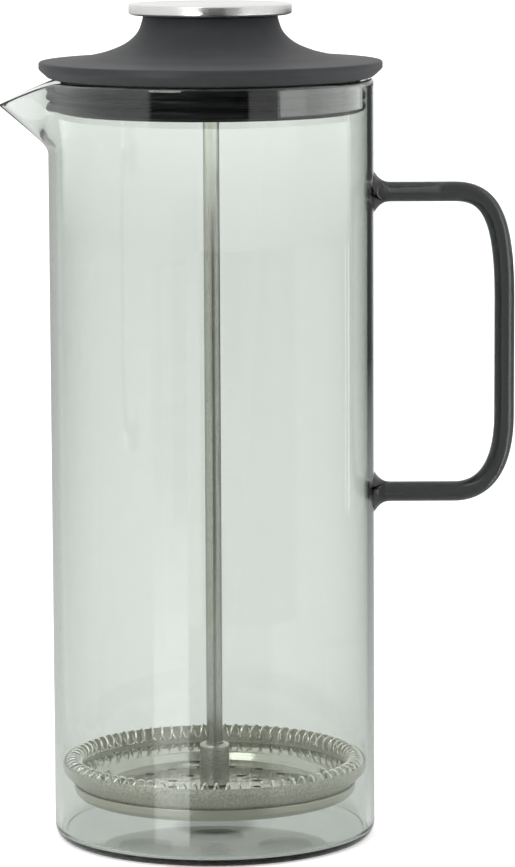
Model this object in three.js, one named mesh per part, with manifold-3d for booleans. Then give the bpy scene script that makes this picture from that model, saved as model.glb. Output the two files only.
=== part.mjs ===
// A glass french press: a tall straight jug with a pulled spout and a welded glass handle, a flared lid
// that plugs into the jug with a ribbed gasket, and a plunger that slides through the lid.
// Millimetres, +Z up. The origin is the centre of the jug's base. The spout points to -X, the handle to +X.

import * as THREE from "three";
import { mergeVertices } from "three/addons/utils/BufferGeometryUtils.js";
import Module from "manifold-3d";

const wasm = await Module();
wasm.setup();

// ---- Driving dimensions -------------------------------------------------------------------------------

const GAP = 0.3; // left between pieces that touch

// Jug
const JUG_R = 50;
const JUG_H = 235.6;
const WALL = 2;
const FLOOR = 2;
const FOOT_WIDE = 2.5; // the foot's rounding, across
const FOOT_TALL = 4; // the foot's rounding, upwards
const FLOOR_ROUND = 2; // the rounding inside, between floor and wall
const BORE_R = JUG_R - WALL;

// Spout, pulled out of the rim
const SPOUT_REACH = 15.5; // how far its tip stands out from the wall
const SPOUT_START = 213; // where the wall begins to lean out
const LIP_DROP = 7.6; // how far its tip hangs below the rim
const SPOUT_HALF_ANGLE = THREE.MathUtils.degToRad(36);
const SPOUT_ROUND = 0.08; // roundness of its tip, seen from above
const SPOUT_PINCH = 3.6; // how narrow it is pinched
const SPOUT_SOFT = 0.15; // how softly it leaves the wall

// Handle, a solid glass rod
const HANDLE_ROD_R = 3.1;
const HANDLE_OUT = 90.2; // the upright's distance from the jug's axis
const HANDLE_TOP = 200.6;
const HANDLE_BOTTOM = 107.4;
// each bend: how wide and how tall it is, and how far it pulls towards its corner
const BEND_TOP = { wide: 15.5, tall: 34, pull: 0.75 };
const BEND_BOTTOM = { wide: 15.5, tall: 24, pull: 0.65 };
const WELD_R = 6.4; // the handle's flared ends, where they are welded on
const WELD_LONG = 5;

// Lid
const BRIM_R = 52.7;
const BRIM_TOP = 241.1;
const BRIM_BOTTOM = 238.4;
const NECK_TOP = 254.8;
const NECK_HOLE_R = 18.8;
const NECK_FLOOR = 247.5;
const SHELL_WEB = 2.6;
const SHELL_BOTTOM = 235.6;
const SHELL_SEAT_R = 47.6;
const INSERT_R = 44.5;
const INSERT_TOP = SHELL_BOTTOM - GAP;
const INSERT_BOTTOM = 225.3;
const INSERT_WEB = 2.4;
const RIB_R = BORE_R - 0.5; // the gasket's ribs, pressed flat against the glass
const RIB_FREE = 1.3; // how far they spring out into the spout
const RIB_SAG = 0.8; // and how far they hang down there
const LOW_RIB = 227.5;
const HIGH_RIB = 230.8;
const GASKET_TOP = 234.8;
const GASKET_BOTTOM = 225.7;
const GUIDE_R = 6.2;
const GUIDE_BOTTOM = 223.7;
const GUIDE_FLANGE_R = 8.2;
const GUIDE_NUT_R = 9.4;

// Knob
const KNOB_R = 25.05;
const KNOB_TOP = 258.5;
const KNOB_BOTTOM = 255.2;
const KNOB_RECESS_R = 12;
const KNOB_RECESS = 1.4;
const CORE_R = 18.1;
const CORE_BOTTOM = 249.7;

// Plunger
const ROD_R = 2.5;
const THREAD_R = 2.05;
const ROD_TOP = 254.3;
const ROD_BOTTOM = 8.2;
const ROD_SHOULDER = 19; // where the rod steps down to its lower thread
const HUB_R = 4.65;
const HUB_TOP = 28.2;

// Filter stack, from the bottom up
const CROSS_BOTTOM = 12.1;
const SHEET = 0.8; // the pressed steel plates
const CROSS_RIM_R = 44.1;
const CROSS_RIM_TOP = 16.6;
const MESH_SHEET = 0.4;
const MESH_RIM_R = BORE_R - 0.5;
const MESH_RIM_TOP = 23.8;
const PLATE_TOP = 15;
const PLATE_FLAT_R = 34.4;
const PLATE_SHELF = 17.6; // the shelf under the spring, which rises a little to its edge
const PLATE_EDGE = 19.2;
const PLATE_R = 43.1;
const SPRING_R = 44.1; // the ring that the coil is bent to
const SPRING_Z = 22.5;
const COIL_R = 2.3;
const COIL_TURNS = 80;
const WIRE_R = 0.33;

// Facets round each turned piece
const ROUND = 40;
const ROUND_JUG = 60;
const ROUND_SMALL = 16;

// ---- Helpers ------------------------------------------------------------------------------------------

// A solid of revolution about Z. The outline runs anticlockwise in (radius, height), and a ring's outline
// closes on itself.
function turned(outline, segments = ROUND) {
  return new THREE.LatheGeometry(outline, segments).rotateX(Math.PI / 2);
}

// Points of a ring's outline, with the first one repeated at the end.
function closed(points) {
  return [...points, points[0].clone()];
}

function corners(...pairs) {
  return pairs.map(([r, z]) => new THREE.Vector2(r, z));
}

// A tube or sleeve between two radii and two heights.
function sleeve(inner, outer, bottom, top, segments) {
  const outline = corners([inner, bottom], [outer, bottom], [outer, top], [inner, top]);
  return turned(closed(outline), segments);
}

function pin(radius, bottom, top, segments = ROUND_SMALL) {
  return turned(corners([0, bottom], [radius, bottom], [radius, top], [0, top]), segments);
}

function toSolid(geometry) {
  const bare = geometry.clone();
  bare.deleteAttribute("normal");
  bare.deleteAttribute("uv");
  const merged = mergeVertices(bare, 1e-4);
  const vertProperties = merged.attributes.position.array;
  const triVerts = new Uint32Array(merged.index.array);
  return new wasm.Manifold(new wasm.Mesh({ numProp: 3, vertProperties, triVerts }));
}

function toGeometry(solid) {
  const mesh = solid.getMesh();
  const geometry = new THREE.BufferGeometry();
  geometry.setAttribute("position", new THREE.BufferAttribute(mesh.vertProperties, 3));
  geometry.setIndex(new THREE.BufferAttribute(mesh.triVerts, 1));
  geometry.computeVertexNormals();
  return geometry;
}

// The geometry with a ring of round holes drilled along Z.
function drilled(solid, count, ringR, holeR, bottom, top, sides) {
  let left = solid;
  for (let i = 0; i < count; i++) {
    const angle = ((i + 0.5) / count) * 2 * Math.PI;
    const bit = pin(holeR, bottom, top, sides);
    bit.translate(ringR * Math.cos(angle), ringR * Math.sin(angle), 0);
    left = left.subtract(toSolid(bit));
  }
  return left;
}

// A hexagonal nut with a plain bore.
function hexNut(acrossFlats, boreR, bottom, height) {
  const shape = new THREE.Shape();
  const cornerR = acrossFlats / 2 / Math.cos(Math.PI / 6);
  for (let i = 0; i < 6; i++) {
    const angle = (i * Math.PI) / 3;
    const move = i === 0 ? "moveTo" : "lineTo";
    shape[move](cornerR * Math.cos(angle), cornerR * Math.sin(angle));
  }
  shape.closePath();
  shape.holes.push(new THREE.Path().absarc(0, 0, boreR, 0, 2 * Math.PI, true));
  const nut = new THREE.ExtrudeGeometry(shape, { depth: height, bevelEnabled: false, curveSegments: 8 });
  return nut.translate(0, 0, bottom);
}

// ---- Jug ----------------------------------------------------------------------------------------------

// 0 at the start of the spout and 1 at the rim's height.
function upSpout(z) {
  return THREE.MathUtils.clamp((z - SPOUT_START) / (JUG_H - SPOUT_START), 0, 1);
}

// 0 for x 0 and 1 for x 1, flat at 0 and nearly straight after it.
function softRamp(x, softness) {
  return (Math.hypot(x, softness) - softness) / (Math.hypot(1, softness) - softness);
}

// 1 along the spout's middle line, falling to 0 at its sides.
function acrossSpout(angle) {
  const t = Math.min(1, Math.abs(angle) / SPOUT_HALF_ANGLE);
  return Math.pow(1 - softRamp(t, SPOUT_ROUND), SPOUT_PINCH);
}

// Crowds the jug's facets towards the spout, then pulls the wall outwards and the lip down there.
function pullSpout(geometry) {
  const crowding = 0.75;
  const p = geometry.attributes.position;
  for (let i = 0; i < p.count; i++) {
    const r = Math.hypot(p.getX(i), p.getY(i));
    const even = Math.atan2(-p.getY(i), -p.getX(i)); // measured from -X
    const angle = even - crowding * Math.sin(even);
    const z = p.getZ(i);
    const pull = r > BORE_R / 2 ? acrossSpout(angle) : 0;
    const out = r + SPOUT_REACH * pull * softRamp(upSpout(z), SPOUT_SOFT);
    p.setXYZ(i, -out * Math.cos(angle), -out * Math.sin(angle), z - LIP_DROP * pull * upSpout(z));
  }
  return geometry;
}

function jugGeometry() {
  const rows = 6; // rows of facets up the spout
  const outline = new THREE.Path();
  outline.moveTo(0, 0);
  outline.lineTo(JUG_R - FOOT_WIDE, 0);
  outline.absellipse(JUG_R - FOOT_WIDE, FOOT_TALL, FOOT_WIDE, FOOT_TALL, -Math.PI / 2, 0);
  for (let i = 0; i < rows; i++) {
    outline.lineTo(JUG_R, SPOUT_START + ((JUG_H - WALL / 2 - SPOUT_START) * i) / rows);
  }
  outline.lineTo(JUG_R, JUG_H - WALL / 2);
  outline.absarc(JUG_R - WALL / 2, JUG_H - WALL / 2, WALL / 2, 0, Math.PI);
  for (let i = rows - 1; i >= 0; i--) {
    outline.lineTo(BORE_R, SPOUT_START + ((JUG_H - WALL / 2 - SPOUT_START) * i) / rows);
  }
  outline.lineTo(BORE_R, FLOOR + FLOOR_ROUND);
  outline.absarc(BORE_R - FLOOR_ROUND, FLOOR + FLOOR_ROUND, FLOOR_ROUND, 0, -Math.PI / 2, true);
  outline.lineTo(0, FLOOR);
  return pullSpout(turned(outline.getPoints(2), ROUND_JUG));
}

// One bend of the handle, from its arm's end to the upright.
function bendCurve(height, bend, down) {
  const at = (inward, along) => new THREE.Vector3(HANDLE_OUT - inward, 0, height - down * along);
  const { wide, tall, pull } = bend;
  return new THREE.CubicBezierCurve3(at(wide, 0), at(wide * (1 - pull), 0), at(0, tall * (1 - pull)), at(0, tall));
}

// The path down the middle of the handle's rod.
function handlePath() {
  const at = (x, z) => new THREE.Vector3(x, 0, z);
  const start = JUG_R - WALL;
  const upper = bendCurve(HANDLE_TOP, BEND_TOP, 1);
  const lower = bendCurve(HANDLE_BOTTOM, BEND_BOTTOM, -1);
  const path = new THREE.CurvePath();
  path.add(new THREE.LineCurve3(at(start, HANDLE_TOP), upper.v0));
  path.add(upper);
  path.add(new THREE.LineCurve3(upper.v3, lower.v3));
  path.add(new THREE.CubicBezierCurve3(lower.v3, lower.v2, lower.v1, lower.v0));
  path.add(new THREE.LineCurve3(lower.v0, at(start, HANDLE_BOTTOM)));
  return path;
}

// The trumpet-shaped end that is welded to the jug at one height.
function weldGeometry(height) {
  const steps = 4;
  const outline = corners([0, 0]);
  for (let i = 0; i <= steps; i++) {
    const along = i / steps;
    const r = HANDLE_ROD_R + (WELD_R - HANDLE_ROD_R) * Math.pow(1 - along, 2.5);
    outline.push(new THREE.Vector2(r, WALL + WELD_LONG * along));
  }
  outline[1].y = 0;
  outline.push(new THREE.Vector2(0, WALL + WELD_LONG));
  return turned(outline, ROUND_SMALL)
    .rotateY(Math.PI / 2)
    .translate(JUG_R - WALL, 0, height);
}

function handleGeometry() {
  const section = new THREE.Shape().absarc(0, 0, HANDLE_ROD_R, 0, 2 * Math.PI);
  const rod = new THREE.ExtrudeGeometry(section, {
    extrudePath: handlePath(),
    steps: 40,
    curveSegments: 6,
    bevelEnabled: false,
  });
  const welded = toSolid(rod).add(toSolid(weldGeometry(HANDLE_TOP))).add(toSolid(weldGeometry(HANDLE_BOTTOM)));
  const jug = toSolid(pin(JUG_R + GAP, 0, JUG_H, ROUND_JUG * 2));
  return toGeometry(welded.subtract(jug));
}

// ---- Lid ----------------------------------------------------------------------------------------------

// The lid's flare, from the brim up to the neck.
const FLARE = [
  [46, 241.4],
  [41, 241.9],
  [36.2, 242.85],
  [33.4, 243.5],
  [31.4, 244.1],
  [29, 245],
  [26.9, 245.95],
  [25.3, 246.95],
  [24.1, 247.9],
  [22.9, 249.1],
  [21.9, 250.6],
  [21.2, 252.4],
  [20.7, 254.3],
];

function lidShellGeometry() {
  const edge = 1; // rounding of the brim's edge
  const outline = new THREE.Path();
  outline.moveTo(SHELL_SEAT_R, SHELL_BOTTOM);
  outline.lineTo(50, BRIM_BOTTOM - 2.1);
  outline.lineTo(BRIM_R - 0.5, BRIM_BOTTOM - 0.1);
  outline.quadraticCurveTo(BRIM_R, BRIM_BOTTOM, BRIM_R, BRIM_BOTTOM + 0.6);
  outline.lineTo(BRIM_R, BRIM_TOP - edge);
  outline.quadraticCurveTo(BRIM_R, BRIM_TOP - 0.1, BRIM_R - edge, BRIM_TOP);
  FLARE.forEach(([r, z]) => outline.lineTo(r, z));
  outline.lineTo(20.3, NECK_TOP);
  outline.lineTo(NECK_HOLE_R, NECK_TOP);
  outline.lineTo(NECK_HOLE_R, NECK_FLOOR);
  outline.lineTo(GUIDE_R + GAP, NECK_FLOOR);
  outline.lineTo(GUIDE_R + GAP, NECK_FLOOR - SHELL_WEB);
  outline.lineTo(NECK_HOLE_R + 1, NECK_FLOOR - SHELL_WEB);
  outline.bezierCurveTo(24.5, BRIM_TOP + 0.6, 33, BRIM_TOP - 0.2, INSERT_R - 2, BRIM_TOP - 2);
  outline.lineTo(INSERT_R - 2, SHELL_BOTTOM);
  return turned(closed(outline.getPoints(4)));
}

function lidInsertGeometry() {
  const beadBottom = 228.2;
  const beadTop = 230.2;
  const bead = INSERT_R + 0.7;
  const skirt = INSERT_R - 2.2;
  const webBottom = INSERT_TOP - INSERT_WEB;
  const hole = GUIDE_R + GAP;
  const outline = corners(
    [skirt, INSERT_BOTTOM],
    [INSERT_R, INSERT_BOTTOM],
    [INSERT_R, beadBottom - 0.4],
    [bead, beadBottom],
    [bead, beadTop],
    [INSERT_R, beadTop + 0.4],
    [INSERT_R, INSERT_TOP],
    [hole, INSERT_TOP],
    [hole, 227.8],
    [hole + 3.4, 227.8],
    [hole + 4, webBottom],
    [skirt, webBottom],
  );
  return turned(closed(outline));
}

// A rounded rib of the gasket, as points from its foot up.
function ribPoints(centre, footR) {
  const steps = 4;
  const half = 1.45;
  const points = [];
  for (let i = 0; i <= steps; i++) {
    const angle = -Math.PI / 2 + (Math.PI * i) / steps;
    points.push(new THREE.Vector2(footR + (RIB_R - footR) * Math.cos(angle), centre + half * Math.sin(angle)));
  }
  return points;
}

// Lets the ribs spring out where the spout leaves them free.
function freeRibs(geometry) {
  const p = geometry.attributes.position;
  for (let i = 0; i < p.count; i++) {
    const r = Math.hypot(p.getX(i), p.getY(i));
    const angle = Math.atan2(-p.getY(i), -p.getX(i)); // measured from -X
    const free = Math.exp(-Math.pow(angle / THREE.MathUtils.degToRad(9), 2));
    const outer = THREE.MathUtils.clamp((r - RIB_R + 2) / 2, 0, 1);
    const out = 1 + (RIB_FREE * free * outer) / r;
    p.setXYZ(i, p.getX(i) * out, p.getY(i) * out, p.getZ(i) - RIB_SAG * free * outer);
  }
  return geometry;
}

function gasketGeometry() {
  const inner = INSERT_R + GAP;
  const groove = inner + 0.7;
  const foot = RIB_R - 1.3;
  const outline = [
    ...corners([inner, GASKET_BOTTOM], [foot - 0.4, GASKET_BOTTOM]),
    ...ribPoints(LOW_RIB, foot),
    ...ribPoints(HIGH_RIB, foot),
    ...corners([foot - 0.3, 232.8], [foot - 0.3, GASKET_TOP], [inner, GASKET_TOP]),
    ...corners([inner, 230.9], [groove, 230.5], [groove, 227.9], [inner, 227.5]),
  ];
  return freeRibs(turned(closed(outline), ROUND_JUG));
}

function rodGuideGeometry() {
  const bore = ROD_R + GAP;
  const flangeBottom = NECK_FLOOR + GAP;
  const outline = corners(
    [bore, GUIDE_BOTTOM],
    [GUIDE_R - 0.4, GUIDE_BOTTOM],
    [GUIDE_R, GUIDE_BOTTOM + 0.4],
    [GUIDE_R, flangeBottom],
    [GUIDE_FLANGE_R, flangeBottom],
    [GUIDE_FLANGE_R, flangeBottom + 0.9],
    [GUIDE_FLANGE_R - 0.4, flangeBottom + 1.3],
    [bore, flangeBottom + 1.3],
  );
  return turned(closed(outline), ROUND_SMALL * 2);
}

// ---- Knob ---------------------------------------------------------------------------------------------

function knobDiscGeometry() {
  const outline = corners(
    [0, KNOB_BOTTOM + KNOB_RECESS],
    [KNOB_RECESS_R, KNOB_BOTTOM + KNOB_RECESS],
    [KNOB_RECESS_R, KNOB_BOTTOM],
    [KNOB_R - 1, KNOB_BOTTOM],
    [KNOB_R - 0.3, KNOB_BOTTOM + 0.4],
    [KNOB_R, KNOB_BOTTOM + 1.1],
    [KNOB_R, KNOB_TOP - 0.3],
    [KNOB_R - 0.3, KNOB_TOP],
    [0, KNOB_TOP],
  );
  return turned(outline);
}

function knobCoreGeometry() {
  const flangeTop = KNOB_BOTTOM - GAP;
  const outline = corners(
    [4.3, CORE_BOTTOM],
    [9.5, CORE_BOTTOM],
    [10, CORE_BOTTOM + 1.8],
    [CORE_R - 0.6, CORE_BOTTOM + 2.2],
    [CORE_R, CORE_BOTTOM + 2.8],
    [CORE_R, flangeTop],
    [KNOB_RECESS_R - GAP, flangeTop],
    [KNOB_RECESS_R - GAP, KNOB_BOTTOM + KNOB_RECESS - GAP],
    [4.3, KNOB_BOTTOM + KNOB_RECESS - GAP],
  );
  return turned(closed(outline));
}

// ---- Plunger ------------------------------------------------------------------------------------------

function rodGeometry() {
  const upperThread = CORE_BOTTOM;
  const outline = corners(
    [0, ROD_BOTTOM],
    [THREAD_R - 0.5, ROD_BOTTOM],
    [THREAD_R, ROD_BOTTOM + 0.6],
    [THREAD_R, ROD_SHOULDER],
    [ROD_R, ROD_SHOULDER],
    [ROD_R, upperThread - 0.4],
    [THREAD_R, upperThread],
    [THREAD_R, ROD_TOP - 0.6],
    [THREAD_R - 0.5, ROD_TOP],
    [0, ROD_TOP],
  );
  return turned(outline, ROUND_SMALL);
}

function hubGeometry() {
  const bottom = PLATE_TOP + GAP;
  const step = ROD_SHOULDER - GAP;
  const outline = corners(
    [THREAD_R + GAP, bottom],
    [HUB_R, bottom],
    [HUB_R, HUB_TOP - 0.8],
    [HUB_R - 0.8, HUB_TOP],
    [ROD_R + GAP, HUB_TOP],
    [ROD_R + GAP, step],
    [THREAD_R + GAP, step],
  );
  return turned(closed(outline), ROUND_SMALL * 2);
}

// The polished upper plate: a flat dish with a shelf round its edge.
function spiralPlateGeometry() {
  const hole = THREAD_R + GAP;
  const outline = corners(
    [hole, PLATE_TOP - SHEET],
    [PLATE_FLAT_R + 0.4, PLATE_TOP - SHEET],
    [PLATE_FLAT_R + 1.6, PLATE_SHELF - SHEET],
    [PLATE_R, PLATE_EDGE - SHEET],
    [PLATE_R, PLATE_EDGE],
    [PLATE_FLAT_R + 1.2, PLATE_SHELF],
    [PLATE_FLAT_R, PLATE_TOP],
    [hole, PLATE_TOP],
  );
  let plate = toSolid(turned(closed(outline)));
  plate = drilled(plate, 16, 25, 1.5, PLATE_TOP - 2, PLATE_TOP + 2, 8);
  plate = drilled(plate, 10, 14, 1.5, PLATE_TOP - 2, PLATE_TOP + 2, 8);
  return toGeometry(plate);
}

// The middle of the rim spring's wire: a coil bent round to a ring, whose ends nearly meet.
class CoilPath extends THREE.Curve {
  constructor() {
    super();
    this.arcLengthDivisions = COIL_TURNS * 24;
  }

  getPoint(t, target = new THREE.Vector3()) {
    const round = 2 * Math.PI * t * (1 - 0.4 / COIL_TURNS);
    const wind = round * COIL_TURNS;
    const r = SPRING_R + COIL_R * Math.cos(wind);
    return target.set(r * Math.cos(round), r * Math.sin(round), SPRING_Z + COIL_R * Math.sin(wind));
  }
}

function springGeometry() {
  const section = new THREE.Shape();
  section.moveTo(WIRE_R, 0);
  section.lineTo(0, WIRE_R);
  section.lineTo(-WIRE_R, 0);
  section.lineTo(0, -WIRE_R);
  const stepsPerTurn = 7;
  return new THREE.ExtrudeGeometry(section, {
    extrudePath: new CoilPath(),
    steps: COIL_TURNS * stepsPerTurn,
    bevelEnabled: false,
  });
}

// The woven filter, a shallow dish that flares to touch the glass all round.
function meshGeometry() {
  const hole = THREAD_R + GAP;
  const floorTop = PLATE_TOP - SHEET - GAP;
  const floorBottom = floorTop - MESH_SHEET;
  const outside = corners([hole, floorBottom], [41, floorBottom], [42.5, floorBottom + 1.1], [42.9, CROSS_RIM_TOP]);
  const flare = corners([45, 18.5], [46.8, 20.5], [47.4, 22.1], [MESH_RIM_R, MESH_RIM_TOP]);
  const inside = corners(
    [MESH_RIM_R - MESH_SHEET, MESH_RIM_TOP],
    [47, 22.2],
    [46.5, 20.7],
    [44.7, 18.8],
    [42.5, CROSS_RIM_TOP + 0.2],
    [42.1, floorTop + 0.9],
    [40.8, floorTop],
    [hole, floorTop],
  );
  return turned(closed([...outside, ...flare, ...inside]));
}

// The lower plate, whose turned-up rim holds the filter from below.
function crossPlateGeometry() {
  const hole = THREAD_R + GAP;
  const outline = corners(
    [hole, CROSS_BOTTOM],
    [39, CROSS_BOTTOM],
    [42.4, CROSS_BOTTOM + 0.7],
    [43.7, CROSS_BOTTOM + 2],
    [CROSS_RIM_R, CROSS_RIM_TOP],
    [CROSS_RIM_R - SHEET, CROSS_RIM_TOP],
    [42.9, CROSS_BOTTOM + 2.1],
    [41.7, CROSS_BOTTOM + 1.2],
    [38.8, CROSS_BOTTOM + SHEET],
    [hole, CROSS_BOTTOM + SHEET],
  );
  let plate = toSolid(turned(closed(outline)));
  plate = drilled(plate, 6, 26, 9, CROSS_BOTTOM - 2, CROSS_BOTTOM + 3, 16);
  return toGeometry(plate);
}

// ---- Materials and assembly ---------------------------------------------------------------------------

const glass = { roughness: 0.03, metalness: 0, transparent: true, opacity: 0.35 };
const paleGlass = new THREE.MeshStandardMaterial({ color: "#d7e0d8", ...glass });
const smokedGlass = new THREE.MeshStandardMaterial({ color: "#3a3e3b", ...glass, opacity: 0.85 });
const greyPlastic = new THREE.MeshStandardMaterial({ color: "#4a4b4d", roughness: 0.6, metalness: 0 });
const greySilicone = new THREE.MeshStandardMaterial({ color: "#3c3d3f", roughness: 0.75, metalness: 0 });
const darkPlastic = new THREE.MeshStandardMaterial({ color: "#2e2f31", roughness: 0.5, metalness: 0 });
const brushedSteel = new THREE.MeshStandardMaterial({ color: "#c9c8c4", roughness: 0.35, metalness: 1 });
const polishedSteel = new THREE.MeshStandardMaterial({ color: "#c4c2b6", roughness: 0.15, metalness: 1 });
const wovenSteel = new THREE.MeshStandardMaterial({ color: "#8d8d7e", roughness: 0.5, metalness: 0.9 });
const brass = new THREE.MeshStandardMaterial({ color: "#b08d4a", roughness: 0.4, metalness: 1 });

const press = new THREE.Group();

function place(name, geometry, material, parent) {
  const mesh = new THREE.Mesh(geometry, material);
  mesh.name = name;
  parent.add(mesh);
}

const jug = new THREE.Group();
place("glass_body", jugGeometry(), paleGlass, jug);
place("glass_handle", handleGeometry(), smokedGlass, jug);

const lid = new THREE.Group();
place("lid_shell", lidShellGeometry(), greyPlastic, lid);
place("lid_insert", lidInsertGeometry(), darkPlastic, lid);
place("lid_gasket", gasketGeometry(), greySilicone, lid);
place("rod_guide", rodGuideGeometry(), polishedSteel, lid);
const guideNut = hexNut(GUIDE_NUT_R * 2, GUIDE_R + GAP, GUIDE_BOTTOM + 0.6, 3);
place("guide_nut", guideNut, polishedSteel, lid);

const plunger = new THREE.Group();
place("knob_disc", knobDiscGeometry(), brushedSteel, plunger);
place("knob_core", knobCoreGeometry(), darkPlastic, plunger);
place("knob_insert", sleeve(THREAD_R + GAP, 4, CORE_BOTTOM + 0.3, ROD_TOP, ROUND_SMALL), brass, plunger);
place("plunger_rod", rodGeometry(), polishedSteel, plunger);
place("hub_sleeve", hubGeometry(), brushedSteel, plunger);
place("spiral_plate", spiralPlateGeometry(), polishedSteel, plunger);
place("rim_spring", springGeometry(), polishedSteel, plunger);
place("mesh_screen", meshGeometry(), wovenSteel, plunger);
place("cross_plate", crossPlateGeometry(), brushedSteel, plunger);
place("clamp_nut", hexNut(8, THREAD_R + GAP, CROSS_BOTTOM - GAP - 3, 3), brushedSteel, plunger);

press.add(jug, lid, plunger);
export default press;
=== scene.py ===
"""The looks of a glass french press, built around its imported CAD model.

Lengths are given in millimetres and turned to metres where a mesh is made. +Z is up, the spout points to -X
and the handle to +X, as in the CAD model.
"""

import math

import bpy
import numpy as np
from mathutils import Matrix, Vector

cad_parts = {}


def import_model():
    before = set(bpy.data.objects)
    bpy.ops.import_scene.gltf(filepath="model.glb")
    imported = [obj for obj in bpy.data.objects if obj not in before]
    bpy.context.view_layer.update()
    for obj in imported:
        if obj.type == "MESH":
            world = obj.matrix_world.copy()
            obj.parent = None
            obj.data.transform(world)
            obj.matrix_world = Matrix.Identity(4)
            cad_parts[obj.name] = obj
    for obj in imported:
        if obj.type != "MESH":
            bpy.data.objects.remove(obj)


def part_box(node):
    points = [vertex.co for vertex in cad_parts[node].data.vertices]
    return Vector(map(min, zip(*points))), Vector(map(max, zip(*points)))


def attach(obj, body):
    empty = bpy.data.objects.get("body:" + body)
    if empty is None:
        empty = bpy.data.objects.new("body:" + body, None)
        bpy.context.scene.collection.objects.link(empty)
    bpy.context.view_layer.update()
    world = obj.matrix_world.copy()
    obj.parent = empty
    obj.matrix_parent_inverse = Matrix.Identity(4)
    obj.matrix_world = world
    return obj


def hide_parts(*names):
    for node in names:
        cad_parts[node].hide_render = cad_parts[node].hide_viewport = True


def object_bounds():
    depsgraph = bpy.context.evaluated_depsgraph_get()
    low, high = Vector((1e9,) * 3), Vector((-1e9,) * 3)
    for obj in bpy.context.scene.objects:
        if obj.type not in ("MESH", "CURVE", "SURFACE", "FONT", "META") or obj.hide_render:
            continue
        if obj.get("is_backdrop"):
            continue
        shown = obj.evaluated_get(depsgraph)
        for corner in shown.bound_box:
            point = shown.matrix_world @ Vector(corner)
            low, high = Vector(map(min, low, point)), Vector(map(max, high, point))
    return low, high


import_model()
CAD_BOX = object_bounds()
MM = 0.001
SMOOTH_BELOW = math.radians(35)
SMOOTH_GLASS = math.radians(80)
SMOOTH_SCREEN = math.radians(60)
SMOOTH_NUT = math.radians(25)


def box(node):
    """A CAD node's lowest and highest corner, in millimetres."""
    low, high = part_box(node)
    return [c / MM for c in low], [c / MM for c in high]


def top(node):
    return box(node)[1][2]


def bottom(node):
    return box(node)[0][2]


def radius(node):
    return box(node)[1][1]


# ---- Mesh helpers -------------------------------------------------------------------------------------


def rounded(corners, steps=5):
    """A polyline through (x, y, fillet radius) corners, each corner with its fillet."""
    points = []
    count = len(corners)
    for i, (x, y, fillet) in enumerate(corners):
        here = np.array((x, y))
        before = np.array(corners[i - 1][:2]) - here
        after = np.array(corners[(i + 1) % count][:2]) - here
        if fillet <= 0:
            points.append((x, y))
            continue
        before_len, after_len = np.linalg.norm(before), np.linalg.norm(after)
        u, v = before / before_len, after / after_len
        half = math.acos(max(-1.0, min(1.0, float(u @ v)))) / 2
        cut = min(fillet / math.tan(half), before_len * 0.49, after_len * 0.49)
        r = cut * math.tan(half)
        centre = here + (u + v) / np.linalg.norm(u + v) * (r / math.sin(half))
        start, end = here + u * cut - centre, here + v * cut - centre
        a0 = math.atan2(start[1], start[0])
        turn = (math.atan2(end[1], end[0]) - a0 + math.pi) % (2 * math.pi) - math.pi
        for k in range(steps + 1):
            a = a0 + turn * k / steps
            points.append((centre[0] + r * math.cos(a), centre[1] + r * math.sin(a)))
    return points


def bezier(p0, p1, p2, p3, steps):
    """Points on a cubic curve, without its ends, each with no fillet."""
    points = []
    for k in range(1, steps):
        t = k / steps
        a, b, c, d = (1 - t) ** 3, 3 * t * (1 - t) ** 2, 3 * t * t * (1 - t), t**3
        points.append(tuple(a * w + b * x + c * y + d * z for w, x, y, z in zip(p0, p1, p2, p3)) + (0,))
    return points


def arc(centre, reach, start, end, steps):
    """Points on an arc from start to end, in degrees. reach is its radius outward and its radius upward."""
    turns = [math.radians(start + (end - start) * k / steps) for k in range(steps + 1)]
    return [(centre[0] + reach[0] * math.cos(a), centre[1] + reach[1] * math.sin(a)) for a in turns]


def with_fillet(points, fillet=0):
    return [(x, y, fillet) for x, y in points]


def eased(points, steps=6):
    """A smooth curve through (x, y) points, each with no fillet."""
    ends = [2 * np.array(points[0]) - np.array(points[1]), 2 * np.array(points[-1]) - np.array(points[-2])]
    knots = [ends[0]] + [np.array(p) for p in points] + [ends[1]]
    curve = []
    for a, b, c, d in zip(knots, knots[1:], knots[2:], knots[3:]):
        for k in range(steps):
            t = k / steps
            p = b + (c - a) * t / 2
            p += (2 * a - 5 * b + 4 * c - d) * t**2 / 2
            p += (3 * b - a - 3 * c + d) * t**3 / 2
            curve.append((p[0], p[1], 0))
    return curve + [(points[-1][0], points[-1][1], 0)]


def new_object(name, verts, faces, material, sharp=SMOOTH_BELOW):
    """A smooth-shaded mesh object from vertices in millimetres."""
    mesh = bpy.data.meshes.new(name)
    mesh.from_pydata([tuple(c * MM for c in v) for v in verts], [], faces)
    mesh.validate()
    mesh.shade_smooth()
    mesh.set_sharp_from_angle(angle=sharp)
    mesh.materials.append(material)
    obj = bpy.data.objects.new(name, mesh)
    bpy.context.scene.collection.objects.link(obj)
    return obj


def stands_for(obj, node, body):
    """The piece takes the place of one CAD node and rides on that node's body."""
    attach(obj, body)
    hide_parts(node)
    return obj


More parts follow.
